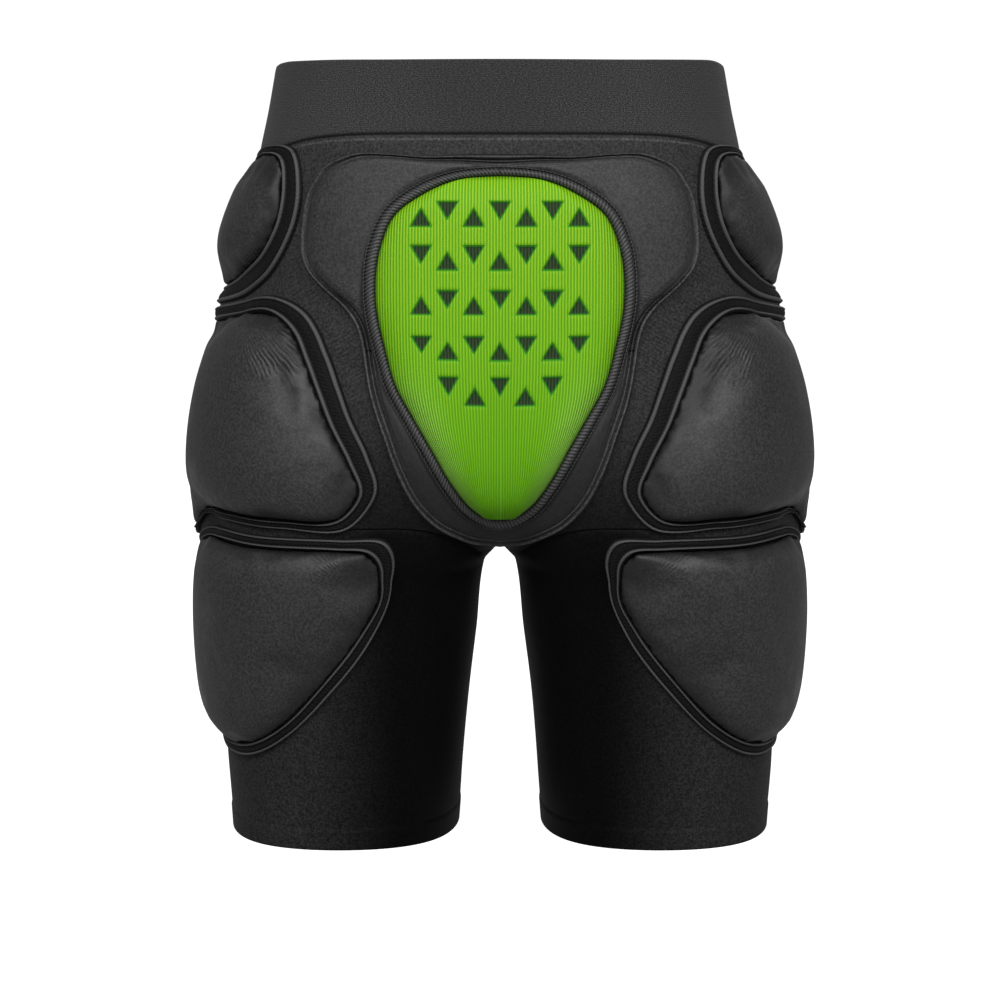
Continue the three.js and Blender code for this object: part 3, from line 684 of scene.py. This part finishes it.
def leg_sleeve(name, side):
    """One leg from the hem to where it tucks inside the hips shell. It bends at the channel."""

    def place(along, up):
        angle = (along * 2 - 1) * np.pi
        z = up * (hips_rim(angle) + TUCK)
        inside = smooth(z - hips_rim(angle), -2.2, 0.6)
        fold = (1 - smooth(z, 12.2, 13.6)) * 0.55
        stitch = bump(z, 13.6, 1.1) * -0.5
        soft = ripple(on_fabric(z, angle), 0.016, 3.1 * side) * 1.3 * smooth(z, 5, 40) * (1 - inside)
        lift = fold + stitch + soft * 0.6 - 2.1 * inside + swell(angle, z)
        points = lifted(z, angle, lift, side)
        points[:, 0] = side * np.maximum(side * points[:, 0], 0.7)
        points[:, 2] = np.where(z < 0.01, 0, points[:, 2])
        return points, {}

    bm = grid(200, 170, place)
    weld(bm)
    face_out(bm, (side * 92, SHIFT_Y, 100))
    nodes = [f"{part}_{name}" for part in ("leg_back_panel", "leg_front_panel", "leg_flex_band", "leg_hem")]
    obj = piece(f"leg_sleeve_{name}", bm, MATERIALS["leg"], nodes=nodes, wall=FABRIC)
    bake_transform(obj)


def waistband():
    # up the outside, over the top and down the inside: share of the way, how far out in mm, how high
    share = np.array([0, 0.01, 0.03, 0.06, 0.46, 0.49, 0.5, 0.515, 0.53, 0.545, 0.57, 0.98, 1.0])
    out = np.array([-0.6, 0.2, 1.0, 1.2, 1.25, 1.0, 0.2, -1.0, -2.2, -2.9, -3.1, -3.1, -2.7])
    height = np.array([0, 0.01, 0.03, 0.07, 0.95, 0.985, 0.997, 1.0, 0.997, 0.985, 0.95, 0.0, -0.02])

    def place(along, up):
        turn = along * 2 * np.pi
        c = np.cos(turn)
        angle = np.arctan2(np.sin(turn), np.abs(c))
        wander = waver(turn, 2.2, 0.4)
        top = TOP + 2.4 + 0.5 * wander - 3.0 * bump(angle, 0, 0.5)
        z = mix(waist_seam(angle) - 0.6, top, np.interp(up, share, height))
        lift = np.interp(up, share, out) + 0.3 * wander
        points = lifted(np.minimum(z, TOP), angle, lift)
        points[:, 2] += np.maximum(z - TOP, 0)
        points[:, 0] *= np.where(c < 0, -1, 1)
        return points, {"run": turn * 120, "height": z, "above": z - waist_seam(angle)}

    bm = grid(300, 90, place)
    weld(bm)
    face_out(bm, (0, SHIFT_Y, 440))
    nodes = ["waistband", "waistband_lining", "waist_seam_tape"]
    return piece("waistband_elastic", bm, MATERIALS["elastic"], "hips", nodes)


# ---- Side pads ----


EDGE_RISE, UNDERSIDE = 4.6, 0.8  # of a foam dome, off the fabric
VOXEL = 0.0036
PRESSURE, PUFF_FRAMES, PUFF_LIMIT = 2.2, 16, 3
CLOTH_STIFFNESS, SHEAR_STIFFNESS, BENDING_STIFFNESS = 18, 6, 0.35


def pillow(share):
    """Height of a full cushion, from 1 in its middle to 0 at its edge."""
    return np.maximum(1 - np.clip(share, 0, 1) ** 3.2, 0) ** 0.6


def round_side(girth):
    """The angle of a place that is so far round from the side line."""
    return girth / GIRTH * 2 * np.pi


def on_pad(spots, level, lift, side):
    return lifted(spots[:, 1] + level, round_side(spots[:, 0]), lift, side)


def pad_body(kind, name):
    return "hips" if SIDE_PADS[kind]["body"] == "hips" else f"leg_{name}"


def pad_dome(kind, side, steps=132, rings=30):
    """A closed foam dome, from its middle out over the top, down a rounded edge and back underneath."""
    pad = SIDE_PADS[kind]
    shares, _ = even_shares(pad["edge"], steps)
    rim = curve(pad["edge"], shares)
    middle = rim[:-1].mean(0)

    def place(along, up):
        spot_rim = rim[np.round(along * steps).astype(int)]
        over, down = up < 0.6, up < 0.68
        radius = np.where(over, up / 0.6, np.where(down, 1, 1 - (up - 0.68) / 0.32))
        spots = middle + (spot_rim - middle) * (radius * 0.996)[:, None]
        crowd = swell(round_side(spots[:, 0]), spots[:, 1] + pad["level"])
        slope = mix(1, pad["droop"], bump(spots[:, 1], pad["high"], 62))
        edge, under = EDGE_RISE + crowd, UNDERSIDE + crowd
        top = np.maximum(mix(edge, EDGE_RISE + (pad["rise"] - 3.2) * slope, pillow(radius)), edge)
        lift = np.where(over, top, np.where(down, mix(edge, under, (up - 0.6) / 0.08), under))
        return on_pad(spots, pad["level"], lift, side), {}

    bm = grid(steps, rings, place)
    weld(bm)
    bmesh.ops.recalc_face_normals(bm, faces=bm.faces)
    return bm


def simulate(obj, held):
    """Inflates a cover over its foam a little and lets its cloth pucker, with its edge held."""
    bpy.context.view_layer.objects.active = obj
    rest = np.array([v.co for v in obj.data.vertices])
    group = obj.vertex_groups.new(name="held")
    group.add([int(i) for i in np.nonzero(held)[0]], 1.0, "REPLACE")
    cloth = obj.modifiers.new("cloth", "CLOTH")
    settings = cloth.settings
    settings.quality = 4
    settings.mass = 0.15
    settings.vertex_group_mass = "held"
    settings.use_pressure = True
    settings.uniform_pressure_force = PRESSURE
    settings.tension_stiffness = CLOTH_STIFFNESS
    settings.compression_stiffness = CLOTH_STIFFNESS
    settings.shear_stiffness = SHEAR_STIFFNESS
    settings.bending_stiffness = BENDING_STIFFNESS
    settings.shrink_min = -0.02
    settings.effector_weights.gravity = 0
    cloth.collision_settings.use_collision = False
    cloth.point_cache.frame_start, cloth.point_cache.frame_end = 1, PUFF_FRAMES
    scene = bpy.context.scene
    for number in range(1, PUFF_FRAMES + 1):
        scene.frame_set(number)
    bpy.ops.object.modifier_apply(modifier="cloth")
    scene.frame_set(1)
    moved = np.array([v.co for v in obj.data.vertices]) - rest
    length = np.linalg.norm(moved, axis=1)
    share = np.minimum(1, PUFF_LIMIT * MM / np.maximum(length, 1e-9))
    for vertex, start, way in zip(obj.data.vertices, rest, moved * share[:, None]):
        vertex.co = start + way
    obj.vertex_groups.clear()


def pad_cover(kind, name, side):
    nodes = [f"{kind}_cover_{name}", f"{kind}_foam_{name}"]
    obj = piece(f"{kind}_{name}", pad_dome(kind, side), MATERIALS["pad"], nodes=nodes)
    remesh = obj.modifiers.new("remesh", "REMESH")
    remesh.mode = "VOXEL"
    remesh.voxel_size = VOXEL
    bpy.context.view_layer.objects.active = obj
    bpy.ops.object.modifier_apply(modifier="remesh")
    simulate(obj, height_over(as_right(obj, side)) < 3.6)
    refine(obj)
    shade_values(obj, kind, as_right(obj, side))
    body = pad_body(kind, name)
    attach(obj, body)


def as_right(obj, side):
    """The vertices in mm, as if on the right half and out of the frame's place."""
    return np.array([v.co for v in obj.data.vertices]) / MM * (side, 1, 1) - (0, SHIFT_Y, 0)


def height_over(points):
    """How far points stand off the fabric, in mm, measured sideways from the loop at their height."""
    x, y, z = points.T
    outer, centre, _, back, front = section(z)
    angle = np.arctan2(-y / np.where(y < 0, back, front), (x - centre) / (outer - centre))
    for _ in range(12):
        turn = on_fabric(z, angle + 0.01) - on_fabric(z, angle - 0.01)
        angle = angle + 0.02 * ((points - on_fabric(z, angle)) * turn).sum(1) / (turn * turn).sum(1)
    away = np.linalg.norm((points - on_fabric(z, angle))[:, :2], axis=1)
    return away - swell(angle, z)


def refine(obj):
    """Smooths a remeshed cover and divides its faces once."""
    bm = bmesh.new()
    bm.from_mesh(obj.data)
    every_way = {"use_axis_x": True, "use_axis_y": True, "use_axis_z": True}
    for _ in range(3):
        bmesh.ops.smooth_vert(bm, verts=bm.verts, factor=0.5, **every_way)
    bmesh.ops.subdivide_edges(bm, edges=bm.edges, cuts=1, use_grid_fill=True, smooth=0.6)
    bmesh.ops.smooth_vert(bm, verts=bm.verts, factor=0.4, **every_way)
    bm.to_mesh(obj.data)
    bm.free()
    obj.data.shade_smooth()


def shade_values(obj, kind, points):
    """Where the cover has fine creases, which way they fan, and painted shade that darkens it near its
    base.
    """
    x, z = points[:, 0], points[:, 2]
    if kind == "thigh_pad":
        near = bump(np.hypot((x - 135) * 0.8, z - 303), 0, 30)
        fan = np.arctan2(z - 340, x - 165)
    elif kind == "lower_pad":
        near = bump(np.hypot((x - 98) * 0.8, z - 178), 0, 17) * 0.5
        fan = np.arctan2(z - 150, x - 70)
    else:
        near = bump(np.hypot((x - 140) * 0.8, z - 350), 0, 24)
        fan = np.arctan2(z - 320, x - 120)
    # Painted shade: the cover darkens where it stands less than 14 mm off the fabric, down its rounded
    # edge.
    tone = -0.72 * (1 - smooth(height_over(points), 5.5, 14))
    for name, numbers in (("wrinkle", near), ("fan", fan), ("tone", tone)):
        layer = obj.data.attributes.new(name, "FLOAT", "POINT")
        layer.data.foreach_set("value", numbers.astype(np.float32))


def pad_flange(kind, name, side, steps=420, rings=40):
    """The stitched edge round a pad: a cord, a groove, a rough bed, and a second cord."""
    pad = SIDE_PADS[kind]
    shares, girth = even_shares(pad["edge"], steps)
    near, far = curve(pad["edge"], shares), curve(pad["seam"], shares)
    # across the edge: where, how high, how high where it is pressed flat at the side line, and how corded
    stops = np.array([-0.22, -0.08, 0, 0.06, 0.12, 0.18, 0.26, 0.5, 0.7, 0.76, 0.83, 0.9, 0.97, 1.05, 1.12])
    levels = np.array([2.6, 3.4, 4.6, 5.0, 4.4, 2.6, 2.9, 3.1, 2.7, 1.7, 2.9, 3.4, 2.8, 1.0, -0.7])
    pressed = np.array([2.6, 3.1, 3.6, 3.7, 3.4, 3.0, 2.9, 2.9, 2.7, 2.4, 2.6, 2.7, 2.3, 0.8, -0.7])
    cords = np.array([0, 0.3, 1, 1, 1, 0, 0, 0, 0, 0, 1, 1, 1, 0, 0])

    def place(along, up):
        i = np.round(along * steps).astype(int)
        s = mix(stops[0], stops[-1], up)
        run = along * girth
        sway = waver(along * 2 * np.pi, 6, 1.7 * side)
        shaken = s + 0.05 * sway * bump(s, 0.5, 0.6)
        spots = near[i] + (far[i] - near[i]) * shaken[:, None]
        angle = round_side(spots[:, 0])
        flat = 0.85 * bump(angle, 0.08, 0.4)
        lift = mix(np.interp(s, stops, levels), np.interp(s, stops, pressed), flat)
        rough = np.array([noise.noise(Vector((r * 0.35, u * 9, 2.0))) for r, u in zip(run, up)])
        lift = lift + 0.45 * rough * bump(s, 0.48, 0.3) + 0.25 * sway
        lift = lift + swell(angle, spots[:, 1] + pad["level"])
        width = np.linalg.norm(far[i] - near[i], axis=1)
        values = {"run": run, "across": s * width, "cord": np.interp(s, stops, cords)}
        return on_pad(spots, pad["level"], lift, side), values

    bm = grid(steps, rings, place)
    weld(bm)
    face_out(bm, (side * 60, SHIFT_Y, 250))
    label, nodes = f"{kind}_edging_{name}", [f"{kind}_flange_{name}"]
    return piece(label, bm, MATERIALS["flange"], pad_body(kind, name), nodes)


# ---- Seat pad, crescent and tailbone pad ----


def back_band(name, edges, plateau, rows, nodes, sunk=0.0):
    """A band on the back between two outlines, mirrored about the centre line."""
    stops = np.array([-1.4, -0.5, 0.3, 1.1, 1.9, 2.6, 3.6, 4.5, 5.4, 8.0, 11])
    levels = np.array([-0.6, 1.4, 3.4, 4.1, 3.4, 1.6, 3.0, 1.5, 0.72, 0.93, 1.0])
    absolute = stops < 5.0

    def place(along, up):
        line = curve(edges, np.abs(along * 2 - 1), closed=False)
        outer, inner = line[:, :2], line[:, 2:]
        width = np.linalg.norm(outer - inner, axis=1)
        d = mix(-1.4, width + 1.0, up**1.35)
        spots = outer + (inner - outer) * (d / width)[:, None]
        full = plateau(np.abs(along * 2 - 1))
        heights = [np.where(flat, level, level * full) for level, flat in zip(levels, absolute)]
        lift = np.empty_like(d)
        for k in range(len(stops) - 1):
            inside = (d >= stops[k]) & (d <= stops[k + 1])
            share = (d - stops[k]) / (stops[k + 1] - stops[k])
            share = share * share * (3 - 2 * share)
            lift = np.where(inside, mix(heights[k], heights[k + 1], share), lift)
        lift = np.where(d > stops[-1], full, lift)
        lift = lift - smooth(d, width - 5, width + 1) * 0.25 * full - sunk
        side = np.sign(along - 0.5)
        points = on_back(spots[:, 0] * side, spots[:, 1], lift)
        run = (along - 0.5) * 620
        wrinkle = bump(np.hypot(spots[:, 0] - 93, spots[:, 1] - 326), 0, 20)
        # Painted highlights on the two raised cords, painted shade in the grooves beside them and at both
        # edges, and painted shade over the band's middle below 318 mm.
        tone = 1.3 * bump(d, 1.1, 1.1) - 0.95 * bump(d, 2.6, 0.9)
        tone = tone + 0.9 * bump(d, 3.6, 0.6) - 0.95 * bump(d, 4.7, 0.9)
        tone = tone - 0.8 * smooth(-d, -0.3, 0.5) - 0.9 * smooth(d, width - 2.2, width - 0.8)
        tone = tone - 0.72 * smooth(d, 5, 6.5) * smooth(318 - spots[:, 1], 0, 50)
        return points, {"wrinkle": wrinkle, "fan": run * 0.012, "tone": tone}

    bm = grid(360, rows, place)
    weld(bm)
    face_out(bm, (0, SHIFT_Y, 310))
    return piece(name, bm, MATERIALS["pad"], "hips", nodes)


def tailbone_binding(steps=620, rings=30):
    """The roll round the tailbone pad."""
    near_points, far_points = whole(TAILBONE_HALF), whole(BINDING_HALF)
    shares, girth = even_shares(near_points, steps)
    near, far = curve(near_points, shares), curve(far_points, shares)

    def place(along, up):
        i = np.round(along * steps).astype(int)
        s = mix(-0.1, 1.15, up)
        spots = near[i] + (far[i] - near[i]) * s[:, None]
        arch = np.sqrt(np.maximum(1 - ((s - 0.44) / 0.44) ** 2, 0))
        base = mix(3.0, 7.4, smooth(spots[:, 1], 270, 330))
        sway = waver(along * 2 * np.pi, 9, 0.3)
        lift = base + 3.0 * arch + 0.3 * sway + 1.0 * bump(s, 1.06, 0.1)
        width = np.linalg.norm(far[i] - near[i], axis=1)
        # Painted shade where the roll curves down at its sides, against the pad and the fabric.
        tone = -0.92 * (1 - smooth(arch, 0.1, 0.6)) * (1 - smooth(s, 0.98, 1.05))
        values = {"run": along * girth, "across": s * width, "tone": tone}
        return on_back(spots[:, 0], spots[:, 1], lift), values

    bm = grid(steps, rings, place)
    weld(bm)
    face_out(bm, (0, SHIFT_Y, 310))
    return piece("tailbone_roll", bm, MATERIALS["binding"], "hips", ["tailbone_binding"])


VENT_PITCH, VENT_TOP = 14.4, 383


def vents():
    """Centres of the triangular vents, and 1 for one that points up or -1 for down."""
    spots = []
    for column in range(-3, 4):
        rows = (
            [(-7, 1), (-24, -1), (-56, 1), (-75, -1), (-107, 1)]
            if abs(column) % 2
            else [(0, -1), (-31, 1), (-49, -1), (-82, 1), (-98, -1)]
        )
        for drop, way in rows:
            if abs(column) < 3 or drop > -98:
                spots.append((column * VENT_PITCH, VENT_TOP + drop, way))
    return spots


def vent_depth(x, z):
    """0 on the foam and 1 in a vent, with a soft edge."""
    depth = np.zeros_like(x)
    for cx, cz, way in vents():
        dx, dz = x - cx, (z - cz) * way
        edges = np.maximum(-dz, np.maximum(dz * 0.5 + dx * 0.866, dz * 0.5 - dx * 0.866))
        depth = np.maximum(depth, 1 - smooth(edges, 2.2, 4.5))
    return depth


def tailbone_pad():
    """The green pad: a pressed cushion with sunk vents, thinner towards its lower end."""
    half = curve(TAILBONE_HALF, np.linspace(0, 1, 900), closed=False)
    order = np.argsort(half[:, 1])
    heights, widths = half[order, 1], np.maximum(half[order, 0], 0)
    low, high = heights[0], heights[-1]

    def place(along, up):
        z = mix(low, high, (1 - np.cos(up * np.pi)) / 2)
        width = np.interp(z, heights, widths)
        x = (along * 2 - 1) * width
        across = np.abs(along * 2 - 1)
        ends = np.minimum(z - low, high - z) / 26
        inset = np.minimum((1 - across) * width / 20, ends)
        body = 1 - (1 - np.clip(inset, 0, 1)) ** 2.6
        vent = vent_depth(x, z)
        high_up = smooth(z, 250, 330)
        lift = mix(3.4, 7.2, high_up) + mix(10.8, 8.2, high_up) * body**0.8 - 1.5 * vent
        bend = mix(1, 69 / np.maximum(width, 18), 0.55 * smooth(310 - z, 0, 90) * across**2)
        # Where the painted highlight lies along the lower sides.
        comb = smooth(across, 0.5, 0.95) * smooth(300 - z, 0, 40)
        # The edge value marks where painted shade lies along the rim.
        values = {"rib": x * bend, "vent": vent, "edge": 1 - smooth(inset, 0, 0.14), "comb": comb}
        return on_back(x, z, lift), values

    bm = grid(190, 250, place)
    weld(bm)
    face_out(bm, (0, SHIFT_Y, 310))
    nodes = ["tailbone_mesh", "tailbone_foam"]
    obj = piece("tailbone_pad", bm, MATERIALS["green"], "hips", nodes)


# ---- Everything together ----

hips_shell()
waistband()
for side_name, side_sign in SIDES.items():
    leg_sleeve(side_name, side_sign)
    for pad_kind in SIDE_PADS:
        pad_cover(pad_kind, side_name, side_sign)
        pad_flange(pad_kind, side_name, side_sign)
seat = back_band(
    "seat_pad",
    SEAT_EDGES,
    lambda share: mix(8.4, 5.0, smooth(share, 0.72, 1.0)),
    46,
    ["seat_pad_cover", "seat_pad_foam"],
)
back_band(
    "seat_crescent",
    CRESCENT_EDGES,
    lambda share: mix(5.0, 3.4, smooth(share, 0.1, 0.4)),
    34,
    ["seat_crescent_panel"],
    0.2,
)
tailbone_binding()
tailbone_pad()

# ---- Stage ----


def aimed(name, data, place, aim):
    """Puts a lamp or a camera in its place, looking at a point."""
    obj = bpy.data.objects.new(name, data)
    obj.location = place
    obj.rotation_euler = (Vector(aim) - Vector(place)).to_track_quat("-Z", "Y").to_euler()
    bpy.context.scene.collection.objects.link(obj)
    return obj


def area_light(name, place, aim, size, power):
    data = bpy.data.lights.new(name, "AREA")
    data.shape = "RECTANGLE"
    data.size, data.size_y = size
    data.energy = power
    aimed(name, data, place, aim)


floor_mesh = bpy.data.meshes.new("floor")
floor_bm = bmesh.new()
bmesh.ops.create_grid(floor_bm, x_segments=1, y_segments=1, size=9)
floor_bm.to_mesh(floor_mesh)
floor_bm.free()
floor = bpy.data.objects.new("floor", floor_mesh)
bpy.context.scene.collection.objects.link(floor)
paper = Finish("floor_paper", Specular_IOR_Level=0.0, Emission_Strength=0.92)
feed(paper.tree, paper.shader.inputs["Emission Color"], paper.tint((1, 1, 1), seen_by_camera(paper.tree)))
floor_mesh.materials.append(paper.done(paper.tint((0.42, 0.42, 0.42), 1.0), 0.9, paper.z * 0))

world = bpy.data.worlds.new("studio")
world.use_nodes = True
backdrop = world.node_tree.nodes["Background"]
backdrop.inputs["Color"].default_value = (1, 1, 1, 1)
feed(world.node_tree, backdrop.inputs["Strength"], seen_by_camera(world.node_tree) * 0.75 + 0.3)
bpy.context.scene.world = world
bpy.context.scene.view_settings.view_transform = "Standard"

TARGET = Vector((0, SHIFT_Y * MM, 0.201))
area_light("key", (-0.6, -1.7, 1.7), TARGET + Vector((0, 0, 0.1)), (1.1, 0.8), 34)
area_light("fill", (0.9, -1.6, 1.5), TARGET + Vector((0, 0, 0.1)), (1.1, 0.8), 24)
area_light("back", (0.2, 1.8, 1.6), TARGET, (1.6, 0.8), 20)

camera_data = bpy.data.cameras.new("camera")
camera_data.sensor_width = 36
camera_data.lens = 98.7
elevation, distance = math.radians(8), 1.7
place = TARGET + Vector((0, -math.cos(elevation), math.sin(elevation))) * distance
bpy.context.scene.camera = aimed("camera", camera_data, place, TARGET)
